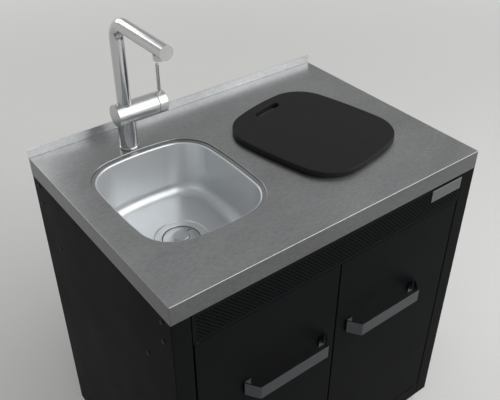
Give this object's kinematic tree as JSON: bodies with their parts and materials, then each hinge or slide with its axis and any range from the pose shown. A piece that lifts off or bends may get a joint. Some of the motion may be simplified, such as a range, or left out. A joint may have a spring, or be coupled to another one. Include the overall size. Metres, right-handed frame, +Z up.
{
  "type": "outdoor sink unit",
  "caption": "Outdoor kitchen sink cabinet: folded stainless worktop with inset bowl, side-lever mixer tap, loose chopping board, perforated vent panel and hinged doors with bar handles.",
  "frame": {"origin": "on the floor, in the middle of the overall footprint, handles and side screws included", "axes": "+X to the right seen from the doors, +Y to the rear, +Z up"},
  "size_m": [0.8444, 0.636, 1.2215],
  "materials": {
    "worktop_stainless": "brushed, lightly mottled",
    "bowl_stainless": "satin",
    "tap_stainless": "polished",
    "handle_stainless": "brushed",
    "badge_steel": "brushed",
    "zinc_steel": "zinc plated",
    "dark_screws": "black oxide",
    "cabinet_coating": "matt powder coat",
    "brass": "turned",
    "rubber": "matt",
    "white_plastic": "moulded",
    "black_plastic": "moulded",
    "board_plastic": "matt"
  },
  "bodies": {
    "cabinet": {"back_panel": "cabinet_coating", "badge_plate": "badge_steel", "bowl": "bowl_stainless", "bowl_clip_bolts": "zinc_steel", "bowl_clips": "zinc_steel", "cartridge": "black_plastic", "cartridge_nut": "brass", "cross_rails": "zinc_steel", "door_magnets": "black_plastic", "drain_body": "bowl_stainless", "drain_locknut": "white_plastic", "drain_seal": "rubber", "floor_panel": "cabinet_coating", "foot_brackets": "zinc_steel", "hinge_brackets": "zinc_steel", "left_side_panel": "cabinet_coating", "mixer_body": "tap_stainless", "mixer_end_cap": "tap_stainless", "plinth_rail": "cabinet_coating", "rear_screws": "dark_screws", "right_side_panel": "cabinet_coating", "side_braces": "zinc_steel", "side_screws": "dark_screws", "tap_base_ring": "tap_stainless", "tap_column": "tap_stainless", "tap_gasket": "rubber", "tap_nut": "brass", "tap_shank": "brass", "trap_body": "white_plastic", "trap_cup": "white_plastic", "trap_nuts": "white_plastic", "trap_outlet_pipe": "white_plastic", "trap_tailpiece": "white_plastic", "vent_panel": "cabinet_coating", "worktop": "worktop_stainless", "worktop_screws": "zinc_steel", "worktop_stiffeners": "worktop_stainless"},
    "left_door": {"left_door": "cabinet_coating", "left_door_bushes": "black_plastic", "left_handle": "handle_stainless", "left_handle_screws": "dark_screws"},
    "right_door": {"right_door": "cabinet_coating", "right_door_bushes": "black_plastic", "right_handle": "handle_stainless", "right_handle_screws": "dark_screws"},
    "spout": {"spout": "tap_stainless", "spout_end_cap": "tap_stainless", "aerator": "black_plastic"},
    "mixing_disc": {"temperature_disc": "black_plastic"},
    "lever": {"lever_cap": "tap_stainless", "lever_rod": "tap_stainless", "lever_set_screw": "dark_screws"},
    "strainer": {"basket": "bowl_stainless", "basket_knob": "bowl_stainless", "basket_plug": "rubber"},
    "board": {"cutting_board": "board_plastic"},
    "foot_front_left": {"foot_front_left": "black_plastic"},
    "foot_front_right": {"foot_front_right": "black_plastic"},
    "foot_rear_left": {"foot_rear_left": "black_plastic"},
    "foot_rear_right": {"foot_rear_right": "black_plastic"}
  },
  "joints": [
    {"name": "left_door_swing", "type": "hinge", "parent": "cabinet", "child": "left_door", "pos_m": [-0.3655, -0.275, 0.44], "axis": [0, 0, -1], "range_deg": [0, 110]},
    {"name": "right_door_swing", "type": "hinge", "parent": "cabinet", "child": "right_door", "pos_m": [0.3655, -0.275, 0.44], "axis": [0, 0, 1], "range_deg": [0, 110]},
    {"name": "spout_swivel", "type": "hinge", "parent": "cabinet", "child": "spout", "pos_m": [-0.212, 0.2255, 1.015], "axis": [0, 0, 1], "continuous": true},
    {"name": "temperature_turn", "type": "hinge", "parent": "cabinet", "child": "mixing_disc", "pos_m": [-0.1345, 0.2255, 0.988], "axis": [1, 0, 0], "range_deg": [-45, 45]},
    {"name": "flow_tilt", "type": "hinge", "parent": "mixing_disc", "child": "lever", "pos_m": [-0.134, 0.2255, 0.9625], "axis": [0, 1, 0], "range_deg": [0, 20]},
    {"name": "strainer_lift", "type": "slide", "parent": "cabinet", "child": "strainer", "axis": [0, 0, 1], "range_m": [0, 0.12]},
    {"name": "board_lift", "type": "slide", "parent": "cabinet", "child": "board", "axis": [0, 0, 1], "range_m": [0, 0.15]},
    {"name": "foot_front_left_level", "type": "slide", "parent": "cabinet", "child": "foot_front_left", "axis": [0, 0, -1], "range_m": [0, 0.015]},
    {"name": "foot_front_right_level", "type": "slide", "parent": "cabinet", "child": "foot_front_right", "axis": [0, 0, -1], "range_m": [0, 0.015]},
    {"name": "foot_rear_left_level", "type": "slide", "parent": "cabinet", "child": "foot_rear_left", "axis": [0, 0, -1], "range_m": [0, 0.015]},
    {"name": "foot_rear_right_level", "type": "slide", "parent": "cabinet", "child": "foot_rear_right", "axis": [0, 0, -1], "range_m": [0, 0.015]}
  ]
}
